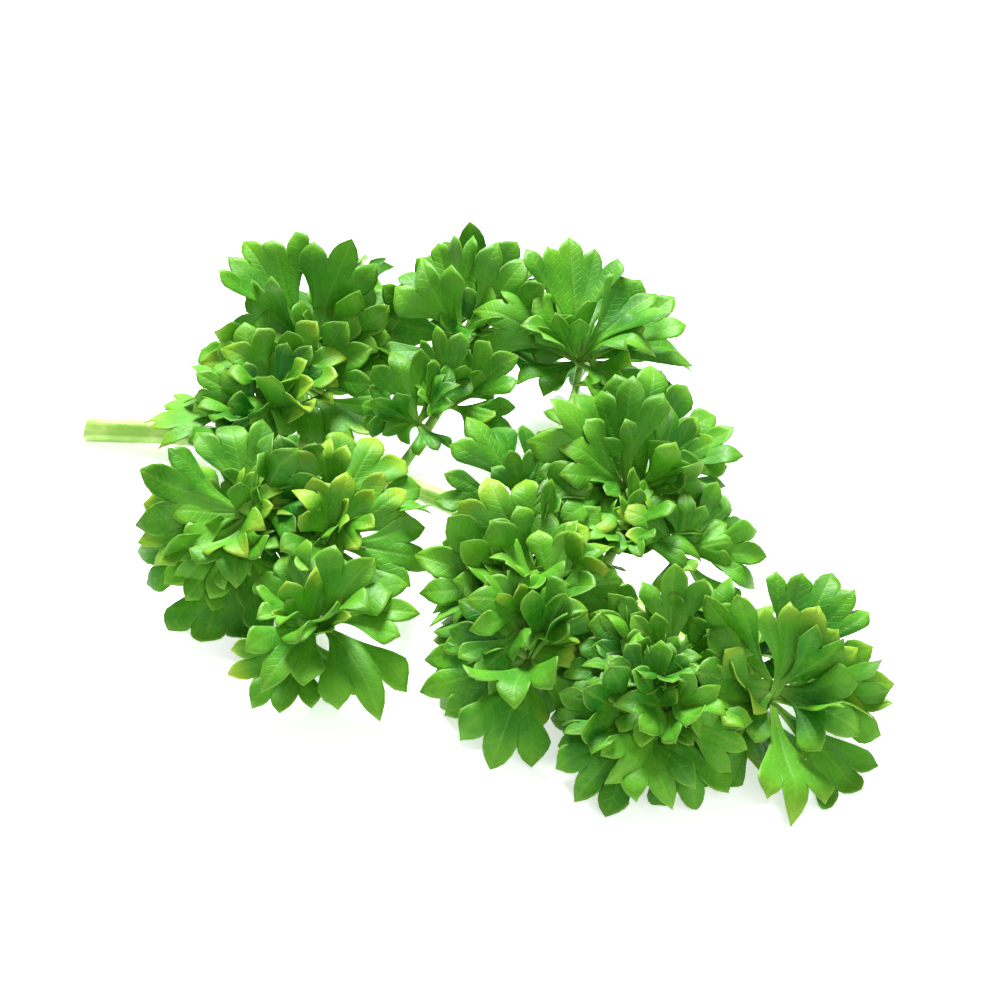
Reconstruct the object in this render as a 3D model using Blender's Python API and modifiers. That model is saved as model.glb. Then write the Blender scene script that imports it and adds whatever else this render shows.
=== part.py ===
"""Curly parsley sprig, cut and laid down on a level surface: a stem with nine side stalks and fifty
lobed, crisped leaflets, grown together as one piece. Blender 4.5, metres. +X runs along the stem
from the cut end to the end leaflet, +Y is the far side and +Z is up. The origin is under the middle.

The stem, the stalks and the blades are helpers in their own collection, and a Boolean joins them.
Every blade's place is worked out from its stalk, and it is then turned a little, in a fixed order of
tries, until it clears all that is already there. So each blade only meets the stalk it grows from.
"""

import itertools
import math

import bmesh
import bpy
import numpy as np
from mathutils import Matrix, Vector
from mathutils.bvhtree import BVHTree

MM = 0.001

# Driving dimensions
STEM_LENGTH = 96.5 * MM
STEM_RADIUS = 1.5 * MM
STEM_ARCH = 7.4 * MM  # rise of the stem's middle line above its cut end
CUT_SLANT = math.radians(12)
STALK_REACH = 1.0  # share of the way points below
STALK_RADIUS = 0.65 * MM
LEAF_SIZE = 1.0  # share of the leaflet radii below
BLADE = 0.4 * MM
NECK_WIDTH = 0.9 * MM  # of a blade, where it leaves its stalk
GAP = 0.3 * MM  # between a blade and all that it doesn't grow from

LIGHT_SIDE = math.radians(33)  # blades lean about a level line this far from the stem
RUFFLE = 0.08  # rise of every other lobe, as a share of the leaflet's radius

# Stem line: share of the length, sideways in mm, share of the arch
STEM_LINE = (
    (0.00, -4.5, 0.00),
    (0.14, 0.0, 0.20),
    (0.31, 0.5, 0.60),
    (0.48, -1.0, 0.87),
    (0.71, -4.0, 1.00),
    (0.85, -8.0, 0.87),
    (0.96, -10.8, 0.73),
    (1.00, -10.4, 0.68),
)

# Side stalks: start as a share of the stem or of another stalk, then way points from there in mm
STALKS = {
    "far_1": ("stem", 0.23, ((0.5, 5.5, 3.5), (-1.5, 15.5, 5.5), (-3.0, 24.0, 5.5))),
    "far_2": ("stem", 0.44, ((-0.5, 8.0, 2.5), (-3.5, 19.5, 3.5), (-8.5, 29.5, 3.5))),
    "far_3": ("stem", 0.63, ((-3.5, 10.5, 1.5), (-7.0, 22.0, 2.5), (-12.0, 32.5, 1.5))),
    "far_4": ("stem", 0.75, ((-1.5, 6.0, 1.0), (-4.0, 12.5, 1.5), (-5.0, 16.5, 1.5))),
    "far_5": ("stem", 0.86, ((-3.5, 8.0, 0.5), (-6.5, 12.0, 1.0))),
    "near_1": ("stem", 0.37, ((5.0, -9.5, 2.0), (9.0, -17.0, 2.5), (14.0, -26.5, -1.0))),
    "near_2": ("near_1", 0.45, ((-3.0, -2.5, 1.0), (-5.5, -5.5, 0.5), (-7.5, -6.5, -1.5))),
    "near_3": ("stem", 0.69, ((1.5, -7.0, 0.5), (4.0, -12.0, 0.0), (6.0, -15.0, -1.0))),
    "near_4": ("stem", 0.91, ((-0.5, -4.0, 1.0), (-1.0, -7.5, 0.5), (0.5, -10.5, -2.0))),
}

# Leaflets, in the order they take their places. Each is: its place as a share of its stalk; the turn
# of its middle lobe in the blade's plane; the lean of that plane to the light side; the swing of the
# lean, all in degrees; its radius in mm; its cup, as a share of the radius; and whether it rests on
# the surface.
LEAFLETS = {
    "stem": (
        (1.00, 62, 48, 0, 12.5, 0.08, False),
        (0.99, -52, 30, 0, 17.0, -0.10, False),
        (0.99, -15, 15, 0, 13.5, -0.08, False),
        (0.96, -105, 35, 0, 11.0, -0.10, True),
        (0.94, -157, 40, 0, 10.0, 0.05, False),
        (0.92, 53, 10, 0, 8.5, 0.05, False),
        (0.73, 0, 15, 20, 10.0, 0.00, False),
    ),
    "near_3": (
        (1.00, -95, 45, 0, 11.5, -0.12, True),
        (0.90, -138, 45, 0, 11.5, -0.10, True),
        (0.50, -30, 40, 15, 10.0, 0.12, False),
        (0.48, 155, 25, 0, 11.5, 0.05, False),
        (0.30, 130, 25, 0, 11.0, 0.12, False),
        (0.80, 175, 20, 0, 9.0, 0.00, False),
        (0.93, -50, 45, 0, 10.4, -0.05, False),
    ),
    "near_4": (
        (0.95, -130, 35, 0, 10.4, -0.12, True),
        (0.85, -75, 30, 0, 10.4, -0.05, False),
        (0.36, 83, 40, 0, 9.0, 0.12, False),
        (0.57, 162, 30, 0, 8.0, 0.08, False),
        (0.65, -103, 30, 0, 7.5, 0.05, False),
        (0.88, -155, 30, 0, 8.0, 0.00, False),
    ),
    "near_1": (
        (1.00, -100, 50, 0, 9.0, -0.05, True),
        (0.92, -45, 45, 0, 11.5, -0.10, True),
        (0.50, 65, 35, 0, 11.0, 0.08, False),
        (0.62, 0, 30, 0, 10.0, 0.02, False),
    ),
    "near_2": (
        (1.00, -110, 40, 0, 12.0, -0.10, True),
        (0.75, 165, 30, 0, 11.5, 0.12, False),
        (1.00, -150, 35, 0, 10.4, -0.05, False),
        (0.43, 125, 30, 0, 9.5, 0.15, False),
        (0.74, -68, 40, 0, 9.0, -0.05, False),
    ),
    "far_1": (
        (0.08, 180, 8, 0, 12.5, -0.04, False),
        (0.62, 125, 45, 0, 13.0, 0.08, False),
        (0.28, 140, 30, 0, 11.5, 0.06, False),
        (0.15, 100, 30, 0, 9.5, 0.12, False),
        (0.30, 35, 35, 0, 11.5, 0.10, False),
        (0.68, 35, 30, 0, 9.5, 0.08, False),
        (1.00, 100, -30, 0, 13.0, -0.12, True),
    ),
    "far_2": (
        (0.80, 120, 45, 0, 13.0, 0.08, False),
        (1.00, 93, 50, 0, 11.0, 0.08, False),
        (0.93, 40, 30, 0, 9.5, 0.05, False),
        (0.40, 35, 30, 0, 9.0, 0.10, False),
        (0.26, 108, 40, 0, 8.0, 0.10, False),
    ),
    "far_3": (
        (0.98, 98, 45, 0, 13.5, 0.08, False),
        (0.93, 40, 30, 0, 11.5, 0.06, False),
        (0.10, 125, 30, 0, 10.4, 0.10, False),
        (1.00, 75, -35, 0, 13.0, -0.12, True),
    ),
    "far_4": (
        (1.00, 85, 45, 0, 12.5, 0.08, False),
        (1.00, 40, 40, 0, 9.8, 0.00, False),
        (0.90, 130, 35, 0, 12.0, 0.05, False),
        (0.35, 30, 20, 0, 8.5, 0.10, False),
    ),
    "far_5": ((1.00, -5, 25, 0, 9.2, 0.04, False),),
}

STEM_SIDES = 10
STALK_SIDES = 8
BLADE_MIDDLE = 0.36  # of a blade's radius, where its lobes begin
SHOULDER = 0.27  # half the width of a lobe's end, as a share of the step from lobe to lobe

# Tries for a leaflet's place: each is a set of changes, and the smallest change goes first. They are
# to its turn, lean and swing in degrees, its size as a share, its place around the stalk in degrees,
# the step of its blade off its base in mm, and its place along the stalk as a share
TRY_TURNS = (0, 9, -9, 18, -18, 30, -30)
TRY_LEANS = (0, 8, -8, 16, -16, 28, -28)
TRY_SWINGS = (0, 16, -16, 32, -32)
TRY_SIZES = (1.0, 0.92, 0.84, 0.72)
TRY_ROUNDS = (0, 50, -50)
TRY_STEPS = (0, 0.8, -0.8)
TRY_SLIDES = (0.0, -0.05, 0.05, -0.12, 0.12)
MOST_TRIES = 5000
SHRINKS = (1.0, 0.85, 0.7, 0.55)  # where no try fits, all are tried again at the next size


def material(name, colour, roughness):
    """A plain material with one colour and one roughness."""
    made = bpy.data.materials.new(name)
    made.use_nodes = True
    made.diffuse_color = (*colour, 1.0)
    shader = made.node_tree.nodes["Principled BSDF"]
    shader.inputs["Base Color"].default_value = (*colour, 1.0)
    shader.inputs["Roughness"].default_value = roughness
    return made


def smooth_line(points, steps):
    """A rounded line through all the points, with so many steps between one and the next."""
    points = [2 * points[0] - points[1], *points, 2 * points[-1] - points[-2]]
    line = []
    for a, b, c, d in zip(points, points[1:], points[2:], points[3:]):
        for t in (i / steps for i in range(steps)):
            line.append(
                0.5 * (2 * b + (c - a) * t + (2 * a - 5 * b + 4 * c - d) * t * t
                       + (3 * b - a - 3 * c + d) * t**3)
            )
    return [*line, points[-2]]


class Rod:
    """A round, tapering stem or stalk: its middle line and its radius at each of its points."""

    def __init__(self, line, first, last):
        self.line = line
        steps = [0.0] + [(b - a).length for a, b in zip(line, line[1:])]
        reached = list(itertools.accumulate(steps))
        self.shares = [length / reached[-1] for length in reached]
        self.radii = [first + (last - first) * share for share in self.shares]

    def at(self, share):
        """Point, direction and radius at this share of the length."""
        k = min(max(int(np.searchsorted(self.shares, share)), 1), len(self.line) - 1)
        a, b = self.shares[k - 1], self.shares[k]
        t = (share - a) / (b - a)
        point = self.line[k - 1].lerp(self.line[k], t)
        radius = self.radii[k - 1] * (1 - t) + self.radii[k] * t
        return point, (self.line[k] - self.line[k - 1]).normalized(), radius

    def mesh(self, name, sides):
        """The rod as a closed mesh: a curve with a round section and filled ends."""
        curve = bpy.data.curves.new(name + "_line", "CURVE")
        curve.dimensions = "3D"
        curve.bevel_depth = 1.0
        curve.bevel_resolution = (sides - 4) // 2
        curve.use_fill_caps = True
        spline = curve.splines.new("POLY")
        spline.points.add(len(self.line) - 1)
        for point, place, radius in zip(spline.points, self.line, self.radii):
            point.co = (*place, 1.0)
            point.radius = radius
        guide = bpy.data.objects.new(name + "_line", curve)
        mesh = bpy.data.meshes.new_from_object(guide)
        bpy.data.objects.remove(guide)
        bpy.data.curves.remove(curve)
        mesh.name = name
        shell = bmesh.new()
        shell.from_mesh(mesh)
        bmesh.ops.remove_doubles(shell, verts=shell.verts, dist=0.00001)
        bmesh.ops.recalc_face_normals(shell, faces=shell.faces)
        shell.to_mesh(mesh)
        shell.free()
        return mesh


def add_object(name, mesh, look, root, collection):
    """An object under the root, shaded smooth, with its material."""
    mesh.materials.append(look)
    mesh.polygons.foreach_set("use_smooth", [True] * len(mesh.polygons))
    made = bpy.data.objects.new(name, mesh)
    collection.objects.link(made)
    made.parent = root
    return made


def add_helper(*arguments):
    """An object that is only there for the Boolean to join."""
    made = add_object(*arguments)
    made.hide_render = True
    made.display_type = "WIRE"
    return made


def stem_rod():
    """The main stem, from the cut end on the surface, over its arch, to the end leaflets."""
    points = [
        Vector((share * STEM_LENGTH, side * MM, STEM_RADIUS + rise * STEM_ARCH))
        for share, side, rise in STEM_LINE
    ]
    return Rod(smooth_line(points, 2), STEM_RADIUS, 0.55 * STEM_RADIUS)


def cut_off(mesh, rod):
    """Cuts the stem's lower end on a slant, and closes it."""
    point, along, radius = rod.at(0.0)
    slant = Matrix.Rotation(CUT_SLANT, 3, "Y") @ along
    shell = bmesh.new()
    shell.from_mesh(mesh)
    geometry = [*shell.verts, *shell.edges, *shell.faces]
    cut = bmesh.ops.bisect_plane(
        shell, geom=geometry, plane_co=point + 0.5 * radius * along, plane_no=slant, clear_inner=True
    )
    rim = [edge for edge in cut["geom_cut"] if isinstance(edge, bmesh.types.BMEdge)]
    bmesh.ops.contextual_create(shell, geom=rim)
    bmesh.ops.recalc_face_normals(shell, faces=shell.faces)
    shell.to_mesh(mesh)
    shell.free()


def stalk_rod(parent, share, way):
    """A side stalk, which grows out of the middle of the rod that carries it."""
    start, _, radius = parent.at(share)
    points = [start] + [start + Vector(step) * MM * STALK_REACH for step in way]
    first = min(STALK_RADIUS, 0.85 * radius)
    return Rod(smooth_line(points, 3), first, 0.75 * first)


def lobes_and_spread(radius):
    """Bigger leaflets have more lobes and open wider."""
    if radius > 15 * MM:
        return 9, math.radians(105)
    if radius > 10.4 * MM:
        return 7, math.radians(90)
    return 5, math.radians(78)


def blade_points(radius, lobes, spread, cup, step):
    """Points of the blade's middle surface: its base's two ends, then a row halfway out, then the
    lobed margin. X runs to the tip of the middle lobe, Z out of the upper face. All but the base is
    a step higher."""
    pitch = 2 * spread / lobes
    column = np.arange(3 * lobes + 1)
    lobe, place = column // 3, column % 3
    angle = pitch * (lobe + np.choose(place, (0.0, 0.5 - SHOULDER, 0.5 + SHOULDER))) - spread
    notch = place == 0
    outline = np.where(notch, 0.74, 0.98) - 0.16 * (angle / spread) ** 2
    side = {5: 1, 7: 2, 9: 3}[lobes]
    outline[[3 * side, 3 * (lobes - side)]] = 0.54
    outline[[0, -1]] = 0.48
    lift = np.where(notch, 0.0, np.where(lobe % 2 == 0, RUFFLE, -RUFFLE))
    reach = np.array([np.full(len(outline), BLADE_MIDDLE), outline])
    x = 0.12 * radius + reach * radius * np.cos(angle)
    y = reach * radius * np.sin(angle)
    z = step + radius * reach**2 * (cup + lift)
    base = [(0, -0.5 * NECK_WIDTH, 0), (0, 0.5 * NECK_WIDTH, 0)]
    return np.concatenate([base, np.stack([x, y, z], axis=-1).reshape(-1, 3)])


def blade_triangles(lobes, necked):
    """Triangles of the middle surface, and the points round its edge in order. A neck is two more
    points, which come first."""
    count = 3 * lobes + 1
    start = 2 if necked else 0
    half, inner, outer = count // 2, start + 2, start + 2 + count
    triangles = [(0, 2, 3), (0, 3, 1)] if necked else []
    triangles += [(start, inner + j, inner + j + 1) for j in range(half)]
    triangles += [(start, inner + half, start + 1)]
    triangles += [(start + 1, inner + j, inner + j + 1) for j in range(half, count - 1)]
    for j in range(count - 1):
        triangles += [(inner + j, outer + j, outer + j + 1), (inner + j, outer + j + 1, inner + j + 1)]
    rim = [inner, *range(outer, outer + count), inner + count - 1]
    rim = [0, 2, *rim, 3, 1] if necked else [0, *rim, 1]
    return np.array(triangles), rim


BLADES = {
    (lobes, necked): blade_triangles(lobes, necked) for lobes in (5, 7, 9) for necked in (False, True)
}


def shell_of(points, thickness, blade):
    """Points and faces of the closed shell of such a blade."""
    triangles, rim = BLADES[blade]
    corners = points[triangles]
    facing = np.cross(corners[:, 1] - corners[:, 0], corners[:, 2] - corners[:, 0])
    normals = np.zeros_like(points)
    for k in range(3):
        np.add.at(normals, triangles[:, k], facing)
    half = 0.5 * thickness * normals / np.linalg.norm(normals, axis=1, keepdims=True)
    size = len(points)
    faces = [*triangles.tolist(), *(triangles[:, ::-1] + size).tolist()]
    faces += [(b, a, size + a, size + b) for a, b in zip(rim, rim[1:] + rim[:1])]
    return np.concatenate([points + half, points - half]), faces


def moved(points, axes, base):
    return points @ np.array(axes).T + np.array(base)


def tree_of(points, faces):
    return BVHTree.FromPolygons([Vector(p) for p in points], faces)


def tree_of_mesh(mesh):
    return BVHTree.FromPolygons(
        [v.co.copy() for v in mesh.vertices], [tuple(p.vertices) for p in mesh.polygons]
    )


def blade_axes(turn, lean, swing):
    """Columns: the middle lobe's direction, the blade's left side and its upper face's normal."""
    return (
        Matrix.Rotation(LIGHT_SIDE + math.radians(swing), 3, "Z")
        @ Matrix.Rotation(math.radians(lean), 3, "X")
        @ Matrix.Rotation(math.radians(turn), 3, "Z")
    )


def blade_root(rod, share):
    """The point inside the stalk where a blade's neck begins, and the stalk's radius there."""
    point, along, radius = rod.at(share)
    return (point - 0.5 * radius * along if share > 0.985 else point), radius


def blade_base(rod, share, axes, around):
    """Where the blade opens, just clear of its stalk, on the side that the blade points to. Gives
    nothing if its neck would leave the stalk edgeways."""
    point, along, radius = rod.at(share)
    ahead, side, normal = axes.col
    if share > 0.985:
        return point + ahead * (radius + GAP + 0.1 * MM)
    out = ahead - ahead.dot(along) * along
    if out.length < 0.35:
        out = normal - normal.dot(along) * along
    out = Matrix.Rotation(math.radians(around), 3, along) @ out.normalized()
    if abs(side.dot(out)) > 0.75:
        return None
    clear = radius + GAP + 0.5 * NECK_WIDTH * abs(side.dot(out))
    return point + out * (clear + (0.5 * BLADE + GAP) * abs(normal.dot(out)))


def neck_ends(root, base, side, share):
    """The neck's two edges at this share of the way from its root to the blade's base."""
    along = base - root
    across = side - side.project(along)
    across = 0.5 * NECK_WIDTH * across.normalized().lerp(side, share)
    middle = root.lerp(base, share)
    return np.array([middle - across, middle + across])


def tries():
    """Sets of changes to a leaflet's place, the smallest change first."""
    sets = itertools.product(
        TRY_TURNS, TRY_LEANS, TRY_SWINGS, TRY_SIZES, TRY_ROUNDS, TRY_STEPS, TRY_SLIDES
    )
    worth = (10, 9, 14, 0.08, 50, 1.2, 0.06)
    rest = (0, 0, 0, 1, 0, 0, 0)
    size = lambda changes: sum(((c - r) / w) ** 2 for c, r, w in zip(changes, rest, worth))
    return sorted(sets, key=size)[:MOST_TRIES]


def resting_lean(low, lean):
    """The lean nearest to the one asked for at which the blade's lowest point is on the surface."""
    found = []
    leans = [lean + step for step in range(-40, 41, 5)]
    heights = [low(value) for value in leans]
    for a, b, at_a, at_b in zip(leans, leans[1:], heights, heights[1:]):
        if (at_a < 0) != (at_b < 0):
            above, below = (a, b) if at_b < 0 else (b, a)
            for _ in range(14):
                middle = 0.5 * (above + below)
                if low(middle) < 0:
                    below = middle
                else:
                    above = middle
            found.append(above)
    return min(found, key=lambda value: abs(value - lean)) if found else None


def place_leaflet(name, stalk, rod, leaflet, taken, changes):
    """The first place that clears the surface and all that is there, at full size if there is one:
    the points of the blade's middle surface, its number of lobes, its axes and its root."""
    share, turn, lean, swing, radius, cup, rests = leaflet
    lobes, spread = lobes_and_spread(radius * MM)
    for shrink, change in itertools.product(SHRINKS, changes):
        d_turn, d_lean, d_swing, size, around, step, slide = change
        at = min(share + slide, 1.0)
        reach = radius * MM * LEAF_SIZE * size * shrink
        fan = blade_points(reach, lobes, spread, cup, step * MM)
        solid = shell_of(fan, BLADE, (lobes, False))[0]
        to_turn, to_lean, to_swing = turn + d_turn, lean + d_lean, swing + d_swing

        def low(value):
            axes = blade_axes(to_turn, value, to_swing)
            base = blade_base(rod, at, axes, around)
            return moved(solid, axes, base)[:, 2].min() if base else -1.0

        if rests:
            to_lean = resting_lean(low, to_lean)
            if to_lean is None:
                continue
        elif low(to_lean) < 0.1 * MM:
            continue
        axes = blade_axes(to_turn, to_lean, to_swing)
        base = blade_base(rod, at, axes, around)
        root, radius_there = blade_root(rod, at)
        from_stalk = min(0.9, 1.15 * radius_there / (base - root).length)
        neck = neck_ends(root, base, axes.col[1], from_stalk)
        wide = blade_points(reach + GAP, lobes, spread, cup, step * MM)
        wide = moved(wide, axes, base)
        open_part, faces = shell_of(wide, BLADE + 2 * GAP, (lobes, False))
        if tree_of(open_part, faces).overlap(taken[stalk][2]):
            continue
        whole, faces = shell_of(np.concatenate([neck, wide]), BLADE + 2 * GAP, (lobes, True))
        lower, upper = whole.min(axis=0), whole.max(axis=0)
        near = [
            tree for other, (a, b, tree) in taken.items()
            if other != stalk and (a < upper).all() and (b > lower).all()
        ]
        whole = tree_of(whole, faces)
        if any(whole.overlap(tree) for tree in near):
            continue
        fan = moved(fan, axes, base)
        solid, faces = shell_of(np.concatenate([neck, fan]), BLADE, (lobes, True))
        taken[name] = solid.min(axis=0), solid.max(axis=0), tree_of(solid, faces)
        points = np.concatenate([neck_ends(root, base, axes.col[1], 0.0), fan])
        return (points - np.array(root)) @ np.array(axes), lobes, axes, root
    raise ValueError(f"{name} finds no free place")


def leaflet_mesh(name, points, lobes):
    """A flat grid, bent into the blade's middle surface, with its first two rows drawn into the neck."""
    count, rows = 3 * lobes + 1, 4
    shell = bmesh.new()
    bmesh.ops.create_grid(shell, x_segments=count - 1, y_segments=rows - 1, size=1.0)
    for vert in shell.verts:
        j = round((vert.co.x + 1) / 2 * (count - 1))
        i = round((vert.co.y + 1) / 2 * (rows - 1))
        left = int(j >= (count + 1) // 2)
        vert.co = points[4 + (i - 2) * count + j] if i > 1 else points[2 * i + left]
    bmesh.ops.remove_doubles(shell, verts=shell.verts, dist=0.00001)
    bmesh.ops.recalc_face_normals(shell, faces=shell.faces)
    mesh = bpy.data.meshes.new(name)
    shell.to_mesh(mesh)
    shell.free()
    return mesh


def add_leaflet(name, placed, look, root, collection):
    """A blade as a helper. A Solidify modifier gives its thickness."""
    points, lobes, axes, place = placed
    made = add_helper(name, leaflet_mesh(name, points, lobes), look, root, collection)
    made.location = place
    made.rotation_euler = axes.to_euler()
    solid = made.modifiers.new("Thickness", "SOLIDIFY")
    solid.thickness = BLADE
    solid.offset = 0.0


def whole_box(collection):
    """Least and greatest corner of all the helpers."""
    bpy.context.view_layer.update()
    graph = bpy.context.evaluated_depsgraph_get()
    corners = []
    for obj in collection.objects:
        evaluated = obj.evaluated_get(graph)
        mesh = evaluated.to_mesh()
        points = np.empty(3 * len(mesh.vertices), np.float32)
        mesh.vertices.foreach_get("co", points)
        world = evaluated.matrix_world
        points = moved(points.reshape(-1, 3), world.to_3x3(), world.translation)
        corners += [points.min(axis=0), points.max(axis=0)]
        evaluated.to_mesh_clear()
    return np.min(corners, axis=0), np.max(corners, axis=0)


def main():
    for obj in list(bpy.data.objects):
        bpy.data.objects.remove(obj)
    collection = bpy.data.collections.new("parsley_sprig")
    helpers = bpy.data.collections.new("sprig_helpers")
    bpy.context.scene.collection.children.link(collection)
    bpy.context.scene.collection.children.link(helpers)
    root = bpy.data.objects.new("root", None)
    collection.objects.link(root)
    green = material("parsley_green", (0.13, 0.34, 0.04), 0.5)

    rods = {"stem": stem_rod()}
    for name, (parent, share, way) in STALKS.items():
        rods[name] = stalk_rod(rods[parent], share, way)
    taken = {}
    for name, rod in rods.items():
        mesh = rod.mesh(name, STEM_SIDES if name == "stem" else STALK_SIDES)
        points = np.array([v.co for v in mesh.vertices])
        taken[name] = points.min(axis=0), points.max(axis=0), tree_of_mesh(mesh)
        if name == "stem":
            cut_off(mesh, rod)
            sprig = add_object("parsley_sprig", mesh, green, root, collection)
        else:
            add_helper("stalk_" + name, mesh, green, root, helpers)

    changes = tries()
    for stalk, leaflets in LEAFLETS.items():
        for letter, leaflet in zip("abcdefghij", leaflets):
            name = f"leaflet_{stalk}_{letter}"
            placed = place_leaflet(name, stalk, rods[stalk], leaflet, taken, changes)
            add_leaflet(name, placed, green, root, helpers)

    low, high = whole_box(helpers)
    stem = [corner[0] for corner in sprig.bound_box]
    low[0], high[0] = min(low[0], *stem), max(high[0], *stem)
    low[2] = min(low[2], *(corner[2] for corner in sprig.bound_box))
    root.location = (-0.5 * (low[0] + high[0]), -0.5 * (low[1] + high[1]), -low[2])

    joined = sprig.modifiers.new("Joined", "BOOLEAN")
    joined.operation = "UNION"
    joined.solver = "EXACT"
    joined.operand_type = "COLLECTION"
    joined.collection = helpers


main()
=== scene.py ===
"""Looks for a cut sprig of curly parsley that lies on a pale surface. Blender 4.5, metres.

The frame's one node is read for the place, size, lean and cup of each leaflet. Every leaflet is then
several closed sheets, its segments, each worked out on a grid with lobes, teeth and veins. They fold,
curl and ruffle, and each leaflet has small ones at its base as well.
The stem, its side stalks and the short stalklets are ribbed tubes swept along their lines.
"""

import math

import bmesh
import bpy
import numpy as np
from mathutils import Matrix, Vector
from mathutils.bvhtree import BVHTree


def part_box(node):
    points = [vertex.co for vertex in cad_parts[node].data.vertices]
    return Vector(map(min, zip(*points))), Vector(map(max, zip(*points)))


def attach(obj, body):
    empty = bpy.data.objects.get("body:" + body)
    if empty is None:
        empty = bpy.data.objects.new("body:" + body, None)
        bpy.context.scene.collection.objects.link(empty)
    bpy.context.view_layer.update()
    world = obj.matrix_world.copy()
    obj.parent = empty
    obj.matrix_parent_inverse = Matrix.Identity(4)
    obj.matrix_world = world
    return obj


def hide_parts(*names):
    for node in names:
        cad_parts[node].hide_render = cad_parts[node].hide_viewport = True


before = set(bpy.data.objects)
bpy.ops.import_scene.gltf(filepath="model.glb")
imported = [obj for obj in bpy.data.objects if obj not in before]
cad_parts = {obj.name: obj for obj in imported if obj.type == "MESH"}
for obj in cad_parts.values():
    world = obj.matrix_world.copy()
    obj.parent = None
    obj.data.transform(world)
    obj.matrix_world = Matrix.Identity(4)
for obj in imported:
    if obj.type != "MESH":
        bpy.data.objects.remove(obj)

bl_info = {
    "name": "Curly Parsley Sprig",
    "version": (1, 0, 0),
    "blender": (4, 5, 0),
    "location": "3D View > Sidebar > Parsley",
    "description": "Builds the leaflets, stem and stage of a cut sprig of curly parsley",
    "category": "Add Mesh",
}

MM = 0.001
NODE = "parsley_sprig"

# The lines of the stem and the side stalks, as the part has them. Stem: share of its length,
# sideways in mm, share of its arch. Stalks: where they start, then way points from there in mm.
STEM_LENGTH = 96.5 * MM
STEM_RADIUS = 1.5 * MM
STEM_ARCH = 7.4 * MM
STALK_RADIUS = 0.65 * MM
CUT_SLANT = math.radians(12)
STEM_LINE = (
    (0.00, -4.5, 0.00),
    (0.14, 0.0, 0.20),
    (0.31, 0.5, 0.60),
    (0.48, -1.0, 0.87),
    (0.71, -4.0, 1.00),
    (0.85, -8.0, 0.87),
    (0.96, -10.8, 0.73),
    (1.00, -10.4, 0.68),
)
STALKS = {
    "far_1": ("stem", 0.23, ((0.5, 5.5, 3.5), (-1.5, 15.5, 5.5), (-3.0, 24.0, 5.5))),
    "far_2": ("stem", 0.44, ((-0.5, 8.0, 2.5), (-3.5, 19.5, 3.5), (-8.5, 29.5, 3.5))),
    "far_3": ("stem", 0.63, ((-3.5, 10.5, 1.5), (-7.0, 22.0, 2.5), (-12.0, 32.5, 1.5))),
    "far_4": ("stem", 0.75, ((-1.5, 6.0, 1.0), (-4.0, 12.5, 1.5), (-5.0, 16.5, 1.5))),
    "far_5": ("stem", 0.86, ((-3.5, 8.0, 0.5), (-6.5, 12.0, 1.0))),
    "near_1": ("stem", 0.37, ((5.0, -9.5, 2.0), (9.0, -17.0, 2.5), (14.0, -26.5, -1.0))),
    "near_2": ("near_1", 0.45, ((-3.0, -2.5, 1.0), (-5.5, -5.5, 0.5), (-7.5, -6.5, -1.5))),
    "near_3": ("stem", 0.69, ((1.5, -7.0, 0.5), (4.0, -12.0, 0.0), (6.0, -15.0, -1.0))),
    "near_4": ("stem", 0.91, ((-0.5, -4.0, 1.0), (-1.0, -7.5, 0.5), (0.5, -10.5, -2.0))),
}

# Segments round a leaflet with that many lobes in the part: their directions as shares of its
# spread, their half angles as shares of it, and their lengths as shares of its radius
SEGMENTS = {
    5: ((0.0, 0.38, 1.12), (0.66, 0.34, 1.02), (-0.66, 0.34, 1.02)),
    7: ((0.0, 0.34, 1.12), (0.64, 0.31, 1.04), (-0.64, 0.31, 1.04)),
    9: ((0.0, 0.25, 1.12), (0.46, 0.23, 1.07), (-0.46, 0.23, 1.07), (0.90, 0.22, 0.96), (-0.90, 0.22, 0.96)),
}
# Teeth of each lobe of a segment with that many teeth
LOBES = {3: (1, 1, 1), 5: (1, 3, 1), 7: (2, 3, 2)}
COLUMNS = 10  # of a segment's grid, for each tooth: even, so that one ray ends on its point
ROWS = 15

# Roll, keel and its spread, bend and its spread of the lobes and of the teeth
LOBE_CURL = (0.24, 0.08, 0.30, -0.3, 0.9)
TOOTH_CURL = (0.30, 0.25, 0.15, -0.9, 1.6)

# Lights: name, place, size, power
LIGHTS = (
    ("key_light", (-0.42, 0.50, 0.92), 0.45, 41.0),
    ("fill_light", (0.45, -0.35, 0.40), 0.5, 2.5),
)
# From the middle of the part to the point the camera looks at
TARGET_SHIFT = (0.95 * MM, -3.16 * MM, -1.97 * MM)


def smoothstep(low, high, x):
    """0 up to low and 1 from high, with 3t^2 - 2t^3 between them."""
    t = np.clip((x - low) / (high - low), 0, 1)
    return t * t * (3 - 2 * t)


def unit(vectors):
    """Vectors of length 1 in the same directions."""
    return vectors / np.maximum(np.linalg.norm(vectors, axis=-1, keepdims=True), 1e-12)


# Reading the frame


def frame_mesh():
    """Points and triangles of the part's one node, with doubles merged on a copy."""
    copy = bmesh.new()
    copy.from_mesh(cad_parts[NODE].data)
    bmesh.ops.remove_doubles(copy, verts=copy.verts, dist=1e-6)
    points = np.array([v.co for v in copy.verts])
    triangles = np.array([[v.index for v in f.verts] for f in copy.faces])
    copy.free()
    return points, triangles


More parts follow.
